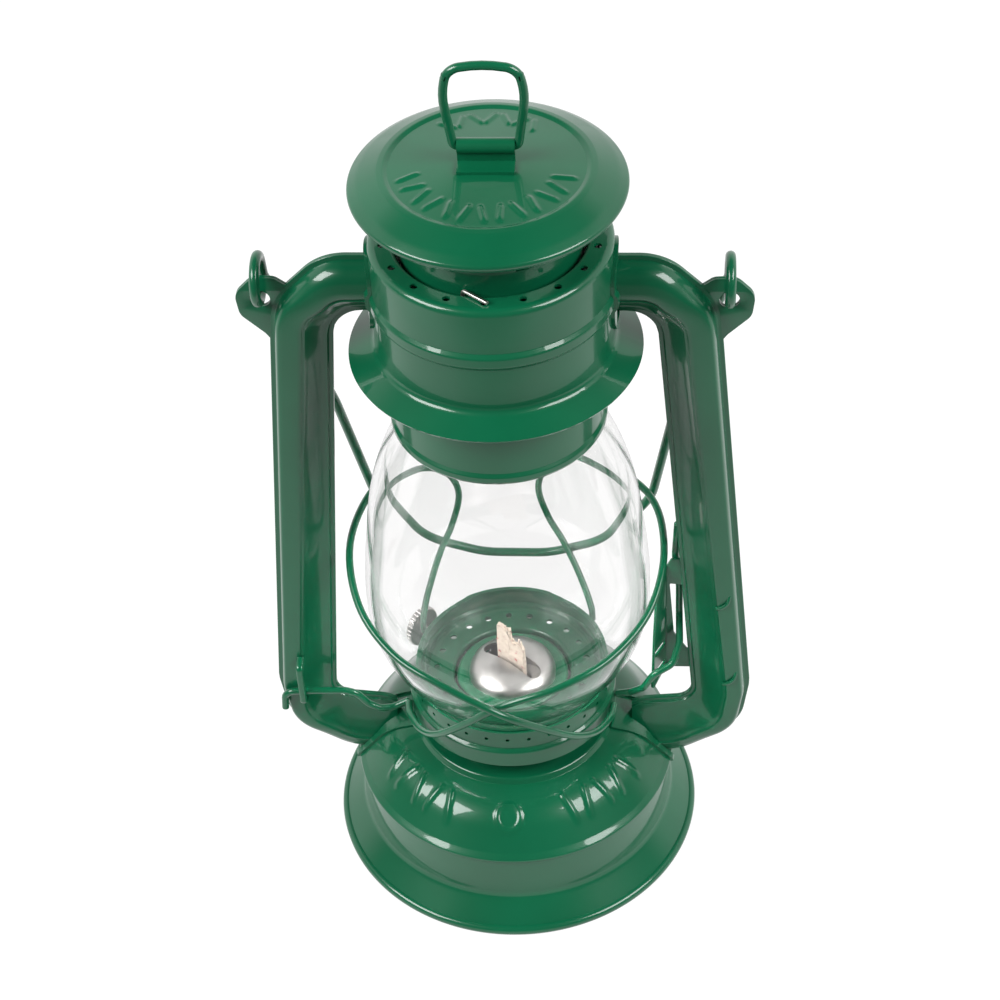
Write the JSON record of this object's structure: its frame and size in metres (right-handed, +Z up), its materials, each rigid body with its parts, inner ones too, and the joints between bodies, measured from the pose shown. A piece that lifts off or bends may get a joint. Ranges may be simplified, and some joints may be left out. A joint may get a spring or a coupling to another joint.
{
  "type": "kerosene hurricane lantern",
  "caption": "Enamelled hurricane lantern: wick burner in a round tank, glass globe that lifts in its wire cage, two air tubes, sprung crown, bail and carry ring.",
  "frame": {"origin": "centre of the base on the ground", "axes": "+Z up along the lantern's axis; the two air tubes stand to -X and +X; -Y is the front and the bail hangs at +Y"},
  "size_m": [0.1456, 0.114, 0.2808],
  "materials": {
    "enamel": "gloss",
    "plated_steel": "satin",
    "spring_steel": "bright",
    "clear_glass": "clear",
    "wick_cotton": "woven",
    "gasket": "matte"
  },
  "bodies": {
    "frame": {"tank_shell": "enamel", "tank_bottom": "enamel", "burner_collar": "enamel", "filler_neck": "enamel", "burner_body": "plated_steel", "wick_tube": "plated_steel", "burner_dome": "plated_steel", "hood_shell": "enamel", "left_hood_saddle": "enamel", "right_hood_saddle": "enamel", "left_foot_collar": "enamel", "right_foot_collar": "enamel", "hinge_strap": "enamel", "lift_bracket": "enamel", "left_tube_front": "enamel", "left_tube_rear": "enamel", "right_tube_front": "enamel", "right_tube_rear": "enamel", "crown_spring": "spring_steel"},
    "globe_cage": {"globe_plate": "enamel", "plate_skirt": "enamel", "globe": "clear_glass", "guard_wire_outer": "enamel", "guard_wire_inner": "enamel", "hinge_arm": "enamel", "lift_wire": "enamel"},
    "crown": {"bell": "enamel", "chimney": "enamel", "cap": "enamel", "ring_bracket": "enamel"},
    "carry_ring": {"carry_ring": "enamel"},
    "bail": {"bail": "enamel"},
    "wick_drive": {"wick_shaft": "plated_steel", "wick_wheels": "plated_steel", "wick_knob": "plated_steel"},
    "wick": {"wick": "wick_cotton"},
    "filler_seal": {"filler_gasket": "gasket"},
    "filler_cap": {"filler_cap": "plated_steel"}
  },
  "joints": [
    {"name": "globe_lift", "type": "slide", "parent": "frame", "child": "globe_cage", "axis": [0, 0, 1], "range_m": [0, 0.0095]},
    {"name": "crown_lift", "type": "slide", "parent": "globe_cage", "child": "crown", "axis": [0, 0, 1], "range_m": [0, 0.012], "stiffness_N_per_m": 80, "springref_m": -0.02, "deforming": ["crown_spring"]},
    {"name": "ring_fold", "type": "hinge", "parent": "crown", "child": "carry_ring", "pos_m": [0, 0, 0.2556], "axis": [1, 0, 0], "range_deg": [-85, 85]},
    {"name": "bail_swing", "type": "hinge", "parent": "frame", "child": "bail", "pos_m": [0, 0, 0.2125], "axis": [1, 0, 0], "range_deg": [0, 225]},
    {"name": "wick_turn", "type": "hinge", "parent": "frame", "child": "wick_drive", "pos_m": [0.00212, 0.00291, 0.0482], "axis": [0.809, -0.5878, 0], "range_deg": [-142, 222]},
    {"name": "wick_rise", "type": "slide", "parent": "frame", "child": "wick", "axis": [0, 0, 1], "range_m": [-0.0098, 0.0062]},
    {"name": "filler_rise", "type": "slide", "parent": "frame", "child": "filler_seal", "axis": [0, 0.4067, 0.9135], "range_m": [0, 0.004]},
    {"name": "filler_turn", "type": "hinge", "parent": "filler_seal", "child": "filler_cap", "pos_m": [0, 0.0385, 0.0375], "axis": [0, 0.4067, 0.9135], "range_deg": [-2, 755]}
  ],
  "couplings": [
    {"joint": "wick_turn", "follows": "wick_rise", "rad_per_m": -384.62},
    {"joint": "filler_turn", "follows": "filler_rise", "rad_per_m": 3141.6}
  ]
}
